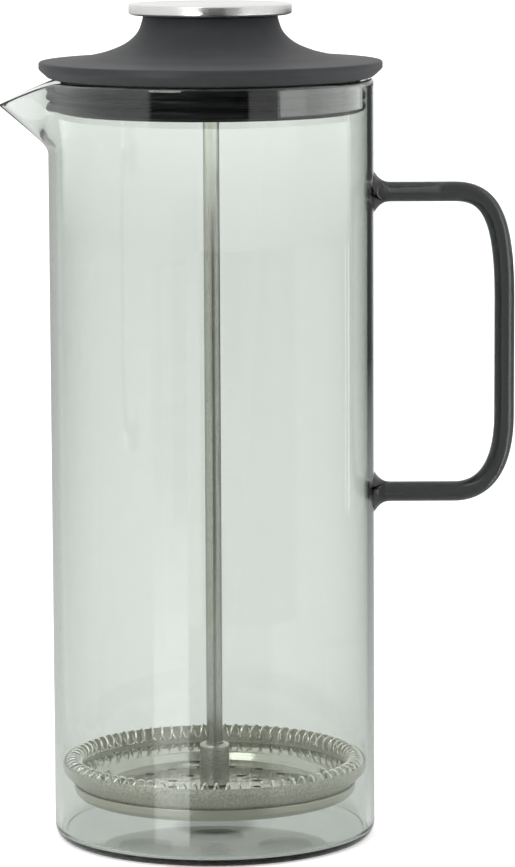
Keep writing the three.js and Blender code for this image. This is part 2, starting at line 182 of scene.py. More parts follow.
def turned(outline, segments, warp=None):
    """Vertices and faces of a solid of revolution. The (radius, height) outline runs anticlockwise; it starts
    and ends on the axis, or closes on itself. warp turns (radius, angle, height) into a point."""
    if warp is None:

        def warp(r, angle, z):
            return r * math.cos(angle), r * math.sin(angle), z

    verts, rings = [], []
    for r, z in outline:
        if r < 1e-6:
            rings.append([len(verts)] * segments)
            verts.append((0.0, 0.0, z))
            continue
        rings.append(list(range(len(verts), len(verts) + segments)))
        for k in range(segments):
            verts.append(warp(r, 2 * math.pi * k / segments, z))
    on_axis = outline[0][0] < 1e-6
    pairs = zip(rings, rings[1:]) if on_axis else zip(rings, rings[1:] + rings[:1])
    faces = []
    for low, high in pairs:
        for k in range(segments):
            n = (k + 1) % segments
            face = [low[k], low[n], high[n], high[k]]
            face = [v for i, v in enumerate(face) if v != face[i - 1]]
            if len(face) > 2:
                faces.append(face)
    return verts, faces


def swept(path, radii, sides, cap=True):
    """Vertices and faces of a round tube along path, whose radius changes from point to point."""
    path = [Vector(p) for p in path]
    tangents = []
    for i in range(len(path)):
        ahead, behind = path[min(i + 1, len(path) - 1)], path[max(i - 1, 0)]
        tangents.append((ahead - behind).normalized())
    normal = tangents[0].orthogonal().normalized()
    verts, faces = [], []
    for i, (p, t) in enumerate(zip(path, tangents)):
        if i:
            normal = tangents[i - 1].rotation_difference(t) @ normal
        normal = (normal - t * normal.dot(t)).normalized()
        side = t.cross(normal)
        for k in range(sides):
            a = 2 * math.pi * k / sides
            verts.append(tuple(p + (normal * math.cos(a) + side * math.sin(a)) * radii[i]))
    for i in range(len(path) - 1):
        for k in range(sides):
            n = (k + 1) % sides
            base = i * sides
            faces.append([base + k, base + n, base + sides + n, base + sides + k])
    if cap:
        faces.append(list(range(sides))[::-1])
        faces.append([len(verts) - sides + k for k in range(sides)])
    return verts, faces


def drilled(obj, holes, low, high, sides=32):
    """Cuts upright round holes, each (x, y, radius), through the object from low to high."""
    verts, faces = [], []
    for x, y, r in holes:
        first = len(verts)
        ring = arc((x, y), (r, r), 0, 360, sides)[:-1]
        verts += [(px, py, low) for px, py in ring] + [(px, py, high) for px, py in ring]
        for k in range(sides):
            n = (k + 1) % sides
            faces.append([first + k, first + n, first + sides + n, first + sides + k])
        faces.append([first + k for k in range(sides)][::-1])
        faces.append([first + sides + k for k in range(sides)])
    cutter = new_object("cutter", verts, faces, obj.data.materials[0])
    cut = obj.modifiers.new("holes", "BOOLEAN")
    cut.operation, cut.object, cut.solver = "DIFFERENCE", cutter, "EXACT"
    shaped = bpy.data.meshes.new_from_object(obj.evaluated_get(bpy.context.evaluated_depsgraph_get()))
    obj.modifiers.clear()
    old, obj.data = obj.data, shaped
    bpy.data.meshes.remove(old)
    bpy.data.objects.remove(cutter)
    obj.data.shade_smooth()
    obj.data.set_sharp_from_angle(angle=SMOOTH_BELOW)
    return obj


def ring_of(count, ring_r, hole_r):
    """Holes for drilled(), evenly spaced on one ring and half a step away from the X axis."""
    turns = [2 * math.pi * (k + 0.5) / count for k in range(count)]
    return [(ring_r * math.cos(a), ring_r * math.sin(a), hole_r) for a in turns]


def hex_nut(across_flats, bore, low, high, segments=96):
    """Vertices and faces of a nut with chamfered corners at both ends and a countersunk bore."""
    flat = across_flats / 2
    slope = math.tan(math.radians(30))
    crown = flat * 0.98
    sink = 0.4
    rows = []
    for k in range(segments):
        angle = 2 * math.pi * k / segments
        off = (angle + math.pi / 6) % (math.pi / 3) - math.pi / 6
        # the corners lie on angles 0, 60, ...
        reach = flat / math.cos(math.pi / 6 - abs(off))
        drop = (reach - crown) * slope
        rows.append(
            [
                (bore, low + sink),
                (bore + sink, low),
                (crown, low),
                (reach, low + drop),
                (reach, high - drop),
                (crown, high),
                (bore + sink, high),
                (bore, high - sink),
            ]
        )
    count = len(rows[0])
    verts, faces = [], []
    for k, row in enumerate(rows):
        angle = 2 * math.pi * k / segments
        verts += [(r * math.cos(angle), r * math.sin(angle), z) for r, z in row]
    for k in range(segments):
        n = (k + 1) % segments
        for j in range(count):
            m = (j + 1) % count
            faces.append([k * count + j, n * count + j, n * count + m, k * count + m])
    return verts, faces


# ---- Node helpers -------------------------------------------------------------------------------------


class Tree:
    """Adds shader nodes and wires them up."""

    def __init__(self, name):
        self.material = bpy.data.materials.new(name)
        self.material.use_nodes = True
        self.nodes = self.material.node_tree.nodes
        self.links = self.material.node_tree.links
        self.nodes.clear()

    def add(self, kind, inputs=None, out=0, **settings):
        """A node with its inputs set to values or wired to sockets. Returns its output socket."""
        node = self.nodes.new("ShaderNode" + kind)
        for key, value in settings.items():
            setattr(node, key, value)
        for key, value in (inputs or {}).items():
            if isinstance(value, bpy.types.NodeSocket):
                self.links.new(value, node.inputs[key])
            else:
                node.inputs[key].default_value = value
        return node.outputs[out]

    def math(self, operation, *values):
        return self.add("Math", dict(enumerate(values)), operation=operation)

    def scaled(self, value, scale):
        return self.math("MULTIPLY", value, scale)

    def blend(self, first, first_share, second, second_share):
        return self.math("ADD", self.scaled(first, first_share), self.scaled(second, second_share))

    def point(self, x, y, z):
        return self.add("CombineXYZ", {0: x, 1: y, 2: z})

    def place(self):
        """The point in the object's own frame, in millimetres."""
        here = self.add("TexCoord", out=3)
        return self.add("VectorMath", {0: here, "Scale": 1000.0}, operation="SCALE")

    def stretched(self, scale):
        return self.add("Mapping", {0: self.place(), "Scale": scale})

    def noise(self, where, scale, detail=4.0, roughness=0.6):
        inputs = {"Vector": where, "Scale": scale, "Detail": detail, "Roughness": roughness}
        return self.add("TexNoise", inputs)

    def spread(self, value, low, high, start=0.0, end=1.0):
        """The value's range start to end, spread over low to high."""
        return self.add("MapRange", {0: value, 1: start, 2: end, 3: low, 4: high})

    def shade(self, value, dark, light, start=0.3, end=0.7):
        """A colour between dark and light."""
        share = self.spread(value, 0.0, 1.0, start, end)
        return self.add("Mix", {0: share, 6: (*dark, 1), 7: (*light, 1)}, out=2, data_type="RGBA")

    def bump(self, height, strength, distance, normal=None):
        inputs = {"Strength": strength, "Distance": distance, "Height": height}
        if normal is not None:
            inputs["Normal"] = normal
        return self.add("Bump", inputs)

    def xyz(self):
        """The point's three coordinates in the object's own frame, in millimetres."""
        parts = self.nodes.new("ShaderNodeSeparateXYZ")
        self.links.new(self.place(), parts.inputs[0])
        return tuple(parts.outputs)

    def polar(self):
        """Distance from the Z axis, the angle round it and the height, in millimetres and radians."""
        x, y, z = self.xyz()
        r = self.math("SQRT", self.math("ADD", self.math("MULTIPLY", x, x), self.math("MULTIPLY", y, y)))
        return r, self.math("ARCTAN2", y, x), z

    def finish(self, inputs, volume=None):
        surface = self.add("BsdfPrincipled", inputs)
        output = self.nodes.new("ShaderNodeOutputMaterial")
        self.links.new(surface, output.inputs["Surface"])
        if volume is not None:
            self.links.new(volume, output.inputs["Volume"])
        return self.material


WHITE = (1, 1, 1, 1)
GLASS_IOR = 1.47
PLASTIC_SPECULAR = 0.16


def glass(name, tint, density):
    """Clear glass, tinted in its depth, with the faint unevenness of drawn glass."""
    t = Tree(name)
    wave = t.noise(t.stretched((0.02, 0.02, 0.006)), 1.0, 1.0)
    return t.finish(
        {
            "Base Color": WHITE,
            "Roughness": 0.0,
            "IOR": GLASS_IOR,
            "Transmission Weight": 1.0,
            "Normal": t.bump(wave, 0.05, 0.001),
        },
        t.add("VolumeAbsorption", {"Color": (*tint, 1), "Density": density}),
    )


def moulded_plastic(name, dark, light, rough, grain, sheen=0.0):
    """Matte moulded plastic with a fine spark-eroded grain."""
    t = Tree(name)
    where = t.place()
    coarse = t.noise(where, 0.12, 3.0)
    fine = t.noise(where, 3.2, 3.0, 0.7)
    return t.finish(
        {
            "Base Color": t.shade(t.blend(coarse, 0.7, fine, 0.3), dark, light),
            "Roughness": t.spread(fine, rough - 0.06, rough + 0.06, 0.3, 0.7),
            "Specular IOR Level": PLASTIC_SPECULAR,
            "Sheen Weight": sheen,
            "Sheen Roughness": 0.5,
            "Normal": t.bump(fine, 0.35, grain * MM),
        }
    )


def turned_steel(name, dark, light, rough, along, streak, aniso=0.6):
    """Steel with fine streaks. along is 'ring' for marks that circle the axis, 'disc' for the rings that
    facing leaves on a flat, and 'length' for marks along the axis."""
    t = Tree(name)
    r, angle, z = t.polar()
    if along == "length":
        mark = t.point(t.scaled(angle, 14.0), 0.0, t.scaled(z, 0.02))
    elif along == "disc":
        mark = t.point(t.scaled(r, 5.0), t.scaled(angle, 0.25), t.scaled(z, 9.0))
    else:
        mark = t.point(t.scaled(r, 3.0), t.scaled(angle, 0.8), t.scaled(z, 9.0))
    lines = t.noise(mark, 1.6, 4.0, 0.75)
    cloud = t.noise(t.place(), 0.09, 2.0)
    inputs = {
        "Base Color": t.shade(t.blend(lines, 0.65, cloud, 0.35), dark, light),
        "Metallic": 1.0,
        "Roughness": t.spread(lines, rough - 0.05, rough + 0.08, 0.3, 0.7),
        "Anisotropic": aniso,
        "Normal": t.bump(lines, streak, 0.00006),
    }
    if aniso:
        inputs["Tangent"] = t.add("Tangent", direction_type="RADIAL", axis="Z")
        inputs["Anisotropic Rotation"] = 0.0 if along == "length" else 0.25
    return t.finish(inputs)


# ---- Materials ----------------------------------------------------------------------------------------

JUG_GLASS = glass("jug_glass", (0.322, 0.438, 0.336), density=150.0)
HANDLE_GLASS = glass("handle_glass", (0.36, 0.4, 0.375), density=1250.0)
LID_PLASTIC = moulded_plastic(
    "lid_plastic", (0.031, 0.032, 0.034), (0.040, 0.041, 0.0435), rough=0.62, grain=0.03, sheen=0.065
)
DARK_PLASTIC = moulded_plastic(
    "insert_plastic", (0.016, 0.016, 0.017), (0.024, 0.024, 0.025), rough=0.45, grain=0.02
)
GASKET = moulded_plastic(
    "gasket_silicone", (0.01, 0.01, 0.011), (0.016, 0.016, 0.017), rough=0.42, grain=0.012
)
KNOB_STEEL = turned_steel(
    "knob_steel", (0.56, 0.56, 0.55), (0.72, 0.72, 0.71), rough=0.26, along="disc", streak=0.18
)
ROD_STEEL = turned_steel(
    "rod_steel", (0.42, 0.42, 0.38), (0.56, 0.56, 0.51), rough=0.24, along="length", streak=0.1, aniso=0.0
)
HUB_STEEL = turned_steel(
    "hub_steel", (0.48, 0.475, 0.43), (0.62, 0.615, 0.56), rough=0.27, along="ring", streak=0.15, aniso=0.4
)
BRASS = turned_steel(
    "brass", (0.55, 0.38, 0.14), (0.7, 0.5, 0.22), rough=0.32, along="ring", streak=0.2, aniso=0.3
)
SPRING_STEEL = turned_steel(
    "spring_steel", (0.89, 0.88, 0.81), (0.98, 0.97, 0.9), rough=0.2, along="ring", streak=0.05, aniso=0.0
)


def polished_plate():
    """Polished sheet steel with faint waves left by the pressing."""
    t = Tree("plate_steel")
    wave = t.noise(t.place(), 0.16, 2.0)
    r, angle, z = t.polar()
    lines = t.noise(t.point(t.scaled(r, 4.0), angle, z), 1.5, 3.0, 0.7)
    return t.finish(
        {
            "Base Color": t.shade(lines, (0.5, 0.5, 0.44), (0.6, 0.6, 0.53)),
            "Metallic": 1.0,
            "Roughness": t.spread(lines, 0.08, 0.16, 0.3, 0.7),
            "Normal": t.bump(lines, 0.05, 0.00005, t.bump(wave, 0.25, 0.0006)),
        }
    )


WIRE_PITCH = 0.42


def woven_screen():
    """Fine woven wire: crossing wires that pass over and under each other. The weave lies flat on the
    screen's floor and goes round with its flared rim."""
    t = Tree("mesh_steel")
    x, y = t.xyz()[:2]
    r, angle, z = t.polar()
    on_rim = t.spread(r, 0.0, 1.0, 40.5, 41.5)
    across = t.add("Mix", {0: on_rim, 2: x, 3: t.scaled(angle, 47.0)})
    upward = t.add("Mix", {0: on_rim, 2: y, 3: t.math("ADD", z, r)})
    u = t.scaled(across, math.pi / WIRE_PITCH)
    v = t.scaled(upward, math.pi / WIRE_PITCH)
    over = t.math("SINE", t.blend(u, 0.5, v, 0.5))
    # in the base colour this also paints shade: the wire that passes under the other is half as bright
    warp = t.math("MULTIPLY", t.math("ABSOLUTE", t.math("SINE", u)), t.spread(over, 0.5, 1.0, -1.0, 1.0))
    weft = t.math("MULTIPLY", t.math("ABSOLUTE", t.math("SINE", v)), t.spread(over, 1.0, 0.5, -1.0, 1.0))
    wires = t.math("MAXIMUM", warp, weft)
    stain = t.noise(t.place(), 0.22, 3.0)
    glint = t.spread(t.noise(t.place(), 1.6, 2.0, 0.8), -0.3, 0.3, 0.35, 0.65)
    tone = t.math("ADD", t.blend(wires, 0.6, stain, 0.5), glint)
    return t.finish(
        {
            "Base Color": t.shade(tone, (0.56, 0.55, 0.455), (1.0, 0.985, 0.835), 0.35, 1.0),
            "Metallic": 0.5,
            "Roughness": t.spread(stain, 0.42, 0.58, 0.3, 0.7),
            "Normal": t.bump(wires, 0.6, 0.00015),
        }
    )


PLATE_STEEL = polished_plate()
MESH_STEEL = woven_screen()
CROSS_STEEL = turned_steel(
    "cross_steel", (0.46, 0.455, 0.375), (0.58, 0.57, 0.48), rough=0.34, along="ring", streak=0.12, aniso=0.3
)

# ---- Jug ----------------------------------------------------------------------------------------------

JUG_R = radius("glass_body")
JUG_H = top("glass_body")
WALL = 2.0
FLOOR, FLOOR_ROUND = 2.0, 2.0
FOOT_WIDE, FOOT_TALL = 2.5, 4.0
SPOUT_REACH = 15.5
SPOUT_START = 213.0
LIP_DROP = 7.6
SPOUT_HALF_ANGLE = math.radians(36)
SPOUT_ROUND, SPOUT_PINCH, SPOUT_SOFT = 0.08, 3.6, 0.15
SPOUT_CROWD = 0.75


def soft_ramp(x, softness):
    """0 for x 0 and 1 for x 1, flat at 0 and nearly straight after it."""
    return (math.hypot(x, softness) - softness) / (math.hypot(1, softness) - softness)


def jug_point(r, even, z):
    """A point of the jug's wall, with the facets crowded round the spout, and the spout pulled out."""
    even = (even + math.pi) % (2 * math.pi) - math.pi
    angle = even - SPOUT_CROWD * math.sin(even)
    up = min(1.0, max(0.0, (z - SPOUT_START) / (JUG_H - SPOUT_START)))
    pull = 0.0
    if r > JUG_R / 2:
        t = min(1.0, abs(angle) / SPOUT_HALF_ANGLE)
        pull = (1 - soft_ramp(t, SPOUT_ROUND)) ** SPOUT_PINCH
    out = r + SPOUT_REACH * pull * soft_ramp(up, SPOUT_SOFT)
    return -out * math.cos(angle), -out * math.sin(angle), z - LIP_DROP * pull * up


def jug_outline():
    """Up the outside from the middle of the base, over the rim and down the bore to the floor's middle."""
    bore = JUG_R - WALL
    rim = JUG_H - WALL / 2
    wall_heights = [20, 50, 90, 130, 170, 200]
    wall_heights += [SPOUT_START + (rim - SPOUT_START) * k / 16 for k in range(16)]
    points = [(0, 0), (15, 0), (30, 0), (40, 0)]
    points += arc((JUG_R - FOOT_WIDE, FOOT_TALL), (FOOT_WIDE, FOOT_TALL), -90, 0, 12)
    points += [(JUG_R, z) for z in wall_heights]
    points += arc((JUG_R - WALL / 2, rim), (WALL / 2, WALL / 2), 0, 180, 10)
    points += [(bore, z) for z in wall_heights[::-1]]
    points += arc((bore - FLOOR_ROUND, FLOOR + FLOOR_ROUND), (FLOOR_ROUND, FLOOR_ROUND), 0, -90, 10)
    return points + [(36, FLOOR), (20, FLOOR), (0, FLOOR)]


jug = new_object("jug_glass_body", *turned(jug_outline(), 320, jug_point), JUG_GLASS, SMOOTH_GLASS)
stands_for(jug, "glass_body", "jug")

# ---- Handle -------------------------------------------------------------------------------------------

HANDLE_ROD_R = 3.1
HANDLE_OUT = box("glass_handle")[1][0] - HANDLE_ROD_R
HANDLE_TOP, HANDLE_BOTTOM = 200.6, 107.4
BEND_TOP = {"wide": 15.5, "tall": 34, "pull": 0.75}
BEND_BOTTOM = {"wide": 15.5, "tall": 24, "pull": 0.65}
WELD_R, WELD_LONG, WELD_CURVE = 6.4, 5.0, 2.5
WELD_GAP = 0.05


def bend(height, wide, tall, pull):
    """The handle's middle line round one bend, as (x, z), from the arm to the upright."""
    corners = [(wide, 0), (wide * (1 - pull), 0), (0, tall * (1 - pull)), (0, tall)]
    knots = [(HANDLE_OUT - inward, height - along) for inward, along in corners]
    return [knots[0]] + [p[:2] for p in bezier(*knots, 36)] + [knots[3]]


def handle_points(step=1.0):
    """The middle line of the handle's rod, as (x, z), from the upper weld to the lower one."""
    upper = bend(HANDLE_TOP, **BEND_TOP)
    lower = [(x, 2 * HANDLE_BOTTOM - z) for x, z in bend(HANDLE_BOTTOM, **BEND_BOTTOM)][::-1]

    def straight(a, b):
        count = max(2, int(math.dist(a, b) / step))
        return [(a[0] + (b[0] - a[0]) * k / count, a[1] + (b[1] - a[1]) * k / count) for k in range(count)]

    points = straight((JUG_R, HANDLE_TOP), upper[0]) + upper[:-1]
    points += straight(upper[-1], lower[0]) + lower[:-1]
    return points + straight(lower[-1], (JUG_R, HANDLE_BOTTOM)) + [(JUG_R, HANDLE_BOTTOM)]


def near_wall(x):
    """1 at the jug's wall, falling to 0 where the weld's flare ends."""
    return max(0.0, 1 - (x - JUG_R) / WELD_LONG)


def handle():
    """The handle's rod, flared where it is welded to the jug, with ends that follow the jug's wall."""
    sides, rings = 40, 6
    path = handle_points()
    radii = [HANDLE_ROD_R + (WELD_R - HANDLE_ROD_R) * near_wall(x) ** WELD_CURVE for x, z in path]
    verts, faces = swept([(x, 0.0, z) for x, z in path], radii, sides, cap=False)
    verts = [list(v) for v in verts]
    wall_r = JUG_R + WELD_GAP
    for v in verts:
        # the rings next to the wall lean over to meet it
        v[0] += (math.sqrt(wall_r**2 - v[1] ** 2) - JUG_R) * near_wall(v[0])
    last = (len(path) - 1) * sides
    for first, middle in ((0, path[0][1]), (last, path[-1][1])):
        outer = [first + k for k in range(sides)]
        for j in range(1, rings + 1):
            share = 1 - j / rings
            if j == rings:
                inner = [len(verts)] * sides
                verts.append([wall_r, 0.0, middle])
            else:
                inner = list(range(len(verts), len(verts) + sides))
                for v in verts[first : first + sides]:
                    y, z = v[1] * share, middle + (v[2] - middle) * share
                    verts.append([math.sqrt(wall_r**2 - y * y), y, z])
            for k in range(sides):
                n = (k + 1) % sides
                face = [outer[k], outer[n], inner[n], inner[k]]
                if first == 0:
                    # the upper end faces the other way along the path
                    face = [outer[n], outer[k], inner[k], inner[n]]
                faces.append([v for i, v in enumerate(face) if v != face[i - 1]])
            outer = inner
    return verts, faces


handle_rod = new_object("jug_glass_handle", *handle(), HANDLE_GLASS, SMOOTH_GLASS)
stands_for(handle_rod, "glass_handle", "jug")

# ---- Lid ----------------------------------------------------------------------------------------------

GUIDE_HOLE = 6.5
BRIM_LOW, BRIM_HIGH = 238.4, 241.1
SEAT_IN, SEAT_OUT = 42.5, 47.6
NECK_R, CUP_R, CUP_FLOOR, CUP_THICK = 20.6, 18.8, 247.5, 2.6
FLARE = [(46, 241.4), (41, 241.9), (36.2, 242.85), (33.4, 243.5), (31.4, 244.1), (29, 245), (26.9, 245.95)]
FLARE += [(25.3, 246.95), (24.1, 247.9), (22.9, 249.1), (21.9, 250.6), (21.2, 252.4), (20.7, 254.3)]


def lid_shell():
    """A brim, a flare up to the neck, and a cup in the neck that the knob sinks into."""
    low, high = box("lid_shell")
    brim, seat, neck_top = high[0], low[2], high[2]
    cup_under = CUP_FLOOR - CUP_THICK
    hollow = BRIM_HIGH - 2
    outline = [(SEAT_OUT, seat, 0.2), (50, BRIM_LOW - 2.1, 0.6), (brim - 0.5, BRIM_LOW - 0.1, 0.4)]
    outline += [(brim, BRIM_LOW + 0.5, 0.5), (brim, BRIM_HIGH - 0.1, 1.1)]
    outline += eased([(brim - 1.4, BRIM_HIGH)] + FLARE)
    outline += [
        (NECK_R, neck_top, 0.4),
        (CUP_R, neck_top, 0.3),
        (CUP_R, CUP_FLOOR, 0.6),
        (GUIDE_HOLE, CUP_FLOOR, 0.2),
        (GUIDE_HOLE, cup_under, 0.2),
        (CUP_R + 1, cup_under, 0.5),
    ]
    pulls = [(24.5, BRIM_HIGH + 0.6), (33, BRIM_HIGH - 0.2)]
    outline += bezier((CUP_R + 1, cup_under), *pulls, (SEAT_IN, hollow), 24)
    outline += [(SEAT_IN, hollow, 0.3), (SEAT_IN, seat, 0.2)]
    return turned(rounded(outline), 192)


shell = new_object("lid_shell_moulded", *lid_shell(), LID_PLASTIC)
stands_for(shell, "lid_shell", "lid")


SKIRT_R, SKIRT_WALL = 44.5, 2.2
COLLAR_LOW = 227.8


def lid_insert():
    """The skirt that carries the gasket on a bead, a web across it and a collar round the guide's hole."""
    low, high = box("lid_insert")
    bead, web = high[0], high[2] - 2.4
    outline = [
        (SKIRT_R - SKIRT_WALL, low[2], 0.4),
        (SKIRT_R, low[2], 0.5),
        (SKIRT_R, COLLAR_LOW, 0.2),
        (bead, COLLAR_LOW + 0.4, 0.3),
        (bead, COLLAR_LOW + 2.4, 0.3),
        (SKIRT_R, COLLAR_LOW + 2.8, 0.2),
        (SKIRT_R, high[2], 0.2),
        (GUIDE_HOLE, high[2], 0.2),
        (GUIDE_HOLE, COLLAR_LOW, 0.2),
        (GUIDE_HOLE + 3.4, COLLAR_LOW, 0.4),
        (GUIDE_HOLE + 4, web, 0.8),
        (SKIRT_R - SKIRT_WALL, web, 0.8),
    ]
    return turned(rounded(outline), 160)


insert = new_object("lid_insert_moulded", *lid_insert(), DARK_PLASTIC)
stands_for(insert, "lid_insert", "lid")


RIB_R, RIB_DEEP, RIB_HALF = 47.5, 1.3, 1.45
RIB_HEIGHTS = [227.5, 230.8]
RIB_FREE, RIB_SAG = 1.3, 0.8
FREE_ANGLE = math.radians(9)


def gasket_point(r, angle, z):
    """A point of the gasket, whose ribs spring out where the spout leaves them free."""
    off = angle - math.pi
    free = math.exp(-((off / FREE_ANGLE) ** 2)) * min(1.0, max(0.0, (r - RIB_R + 2) / 2))
    r += RIB_FREE * free
    return r * math.cos(angle), r * math.sin(angle), z - RIB_SAG * free


def gasket():
    """The two-ribbed silicone ring that stands on the glass, with a groove inside for the insert's bead."""
    inner, foot, base, crest = 44.8, RIB_R - RIB_DEEP, 225.7, top("lid_gasket")
    outline = [(inner, base, 0.2), (foot - 0.4, base, 0.2)]
    for height in RIB_HEIGHTS:
        outline += with_fillet(arc((foot, height), (RIB_DEEP, RIB_HALF), -90, 90, 12))
    outline += [(foot - 0.3, 232.8, 0.3), (foot - 0.3, crest, 0.3), (inner, crest, 0.2)]
    outline += with_fillet([(inner, 230.9), (inner + 0.7, 230.5), (inner + 0.7, 227.9), (inner, 227.5)])
    return turned(rounded(outline), 288, gasket_point)


seal = new_object("lid_gasket_ring", *gasket(), GASKET)
stands_for(seal, "lid_gasket", "lid")


GUIDE_BODY, GUIDE_FLANGE = 6.2, 1.3
ROD_BORE, SCREW_BORE, SCREW_R = 2.8, 2.35, 2.05


def rod_guide():
    """The flanged bush in the lid that the rod slides through."""
    low, high = box("rod_guide")
    flange, seat = high[0], high[2] - GUIDE_FLANGE
    outline = [
        (ROD_BORE, low[2], 0.4),
        (GUIDE_BODY, low[2], 0.5),
        (GUIDE_BODY, seat, 0.1),
        (flange, seat, 0.2),
        (flange, high[2], 0.4),
        (ROD_BORE, high[2], 0.4),
    ]
    return turned(rounded(outline), 96)


guide = new_object("rod_guide_bush", *rod_guide(), HUB_STEEL)
stands_for(guide, "rod_guide", "lid")

guide_nut_shape = hex_nut(18.8, GUIDE_HOLE, bottom("guide_nut"), top("guide_nut"))
guide_nut = new_object("guide_nut_hex", *guide_nut_shape, HUB_STEEL, SMOOTH_NUT)
stands_for(guide_nut, "guide_nut", "lid")

# ---- Knob ---------------------------------------------------------------------------------------------

SPIGOT_R, SPIGOT_DEEP = 11.7, 1.4


def knob_disc():
    """A thin flat disc, with a round recess underneath that takes the core's spigot."""
    low, high = box("knob_disc")
    r, recess_r, recess = high[0], SPIGOT_R + 0.3, low[2] + SPIGOT_DEEP
    outline = [(0, recess, 0), (recess_r, recess, 0.2), (recess_r, low[2], 0.2), (r, low[2], 0.9)]
    outline += [(r, high[2], 0.35), (20, high[2], 0), (10, high[2], 0), (0, high[2], 0)]
    return turned(rounded(outline), 192)


disc = new_object("knob_disc_turned", *knob_disc(), KNOB_STEEL)
stands_for(disc, "knob_disc", "plunger")


def knob_core():
    """The plastic boss under the disc: a plug below, a flat rim and a spigot on top."""
    low, high = box("knob_core")
    r, step, bore = high[0], high[2] - SPIGOT_DEEP, 4.3
    outline = [
        (bore, low[2], 0.3),
        (9.5, low[2], 0.5),
        (10, low[2] + 2.0, 0.6),
        (r, low[2] + 2.2, 0.8),
        (r, step, 0.3),
        (SPIGOT_R, step, 0.1),
        (SPIGOT_R, high[2], 0.2),
        (bore, high[2], 0.2),
    ]
    return turned(rounded(outline), 128)


core = new_object("knob_core_moulded", *knob_core(), DARK_PLASTIC)
stands_for(core, "knob_core", "plunger")


def knob_insert():
    """The brass sleeve in the core that the rod's upper thread screws into."""
    low, high = box("knob_insert")
    r = high[0]
    outline = [(SCREW_BORE, low[2], 0.2), (r, low[2], 0.3), (r, high[2], 0.3), (SCREW_BORE, high[2], 0.2)]
    return turned(rounded(outline), 64)


brass_insert = new_object("knob_insert_turned", *knob_insert(), BRASS)
stands_for(brass_insert, "knob_insert", "plunger")

# ---- Plunger ------------------------------------------------------------------------------------------


def thread(low, high, crest, root, pitch=0.7):
    """Outline points of ring grooves that stand for a thread, from low to high."""
    count = int((high - low) / pitch)
    points = []
    for k in range(count):
        z = low + pitch * k
        points += [(crest, z), (crest, z + pitch * 0.15), (root, z + pitch * 0.5), (crest, z + pitch * 0.85)]
    return with_fillet(points)


def rod():
    """The plunger's rod, with a shoulder over its lower thread and a second thread under the knob."""
    low, high = box("plunger_rod")
    r, shoulder, neck = high[0], 19.0, bottom("knob_core")
    root, tip = SCREW_R - 0.3, SCREW_R - 0.5
    outline = [(0, low[2], 0), (tip, low[2], 0)]
    outline += thread(low[2] + 0.6, shoulder - 0.4, SCREW_R, root)
    outline += [(SCREW_R, shoulder, 0), (r, shoulder, 0.2)]
    outline += [(r, shoulder + (neck - 0.4 - shoulder) * k / 8, 0) for k in range(1, 9)]
    outline += thread(neck, high[2] - 0.6, SCREW_R, root)
    outline += [(tip, high[2], 0), (0, high[2], 0)]
    return turned(rounded(outline), 64)


rod_piece = new_object("plunger_rod_steel", *rod(), ROD_STEEL)
stands_for(rod_piece, "plunger_rod", "plunger")


def hub():
    """The sleeve that the rod's shoulder sits in, over the filter."""
    low, high = box("hub_sleeve")
    r, step = high[0], 18.7
    outline = [
        (SCREW_BORE, low[2], 0.2),
        (r, low[2], 0.3),
        (r, high[2], 1.1),
        (ROD_BORE, high[2], 0.3),
        (ROD_BORE, step, 0),
        (SCREW_BORE, step, 0),
    ]
    return turned(rounded(outline, 8), 96)


hub_piece = new_object("hub_sleeve_turned", *hub(), HUB_STEEL)
stands_for(hub_piece, "hub_sleeve", "plunger")


PLATE_SHEET = 0.8


def spiral_plate():
    """A pressed dish with a flat floor, a short wall and a wide flared rim that holds the coil."""
    low, high = box("spiral_plate")
    rim, edge, floor = high[0], high[2], low[2] + PLATE_SHEET
    flat, shelf, sheet = 34.4, 17.6, PLATE_SHEET
    outline = [
        (SCREW_BORE, floor - sheet, 0),
        (flat + 0.4, floor - sheet, 0.8),
        (flat + 1.6, shelf - sheet, 0.5),
        (rim, edge - sheet, 0.2),
        (rim, edge, 0.3),
        (flat + 1.2, shelf, 0.9),
        (flat, floor, 0.5),
        (28, floor, 0),
        (16, floor, 0),
        (6, floor, 0),
        (SCREW_BORE, floor, 0),
    ]
    return turned(rounded(outline), 224)


plate = new_object("spiral_plate_pressed", *spiral_plate(), PLATE_STEEL)
drilled(plate, ring_of(16, 25, 1.5) + ring_of(10, 14, 1.5), low=10, high=17)
stands_for(plate, "spiral_plate", "plunger")


def rim_spring():
    """The coil bent round to a ring, its two ends nearly meeting."""
    ring_r, coil_r, turns, wire, gap = 44.1, 2.3, 80, 0.33, 0.4
    middle = (bottom("rim_spring") + top("rim_spring")) / 2
    steps = turns * 24
    path = []
    for k in range(steps + 1):
        around = 2 * math.pi * k / steps * (1 - gap / turns)
        wind = around * turns
        r = ring_r + coil_r * math.cos(wind)
        path.append((r * math.cos(around), r * math.sin(around), middle + coil_r * math.sin(wind)))
    return swept(path, [wire] * len(path), 10)


spring = new_object("rim_spring_coil", *rim_spring(), SPRING_STEEL)
stands_for(spring, "rim_spring", "plunger")


def mesh_screen():
    """The woven screen: a flat floor, a short wall and a rim that flares out to the glass."""
    low, high = box("mesh_screen")
    rim, sheet = high[0], 0.4
    floor = low[2] + sheet
    outside = [(SCREW_BORE, low[2], 0), (20, low[2], 0), (41, low[2], 1.2), (42.5, low[2] + 1.1, 0.6)]
    outside += [(42.9, 16.6, 0.8), (45, 18.5, 2), (46.8, 20.5, 2), (47.4, 22.1, 2), (rim, high[2], 0.15)]
    inside = [(rim - sheet, high[2], 0.15), (47, 22.2, 2), (46.5, 20.7, 2), (44.7, 18.8, 2)]
    inside += [(42.5, 16.8, 0.8), (42.1, floor + 0.9, 0.6), (40.8, floor, 1), (20, floor, 0)]
    inside += [(SCREW_BORE, floor, 0)]
    return turned(rounded(outside + inside), 256)


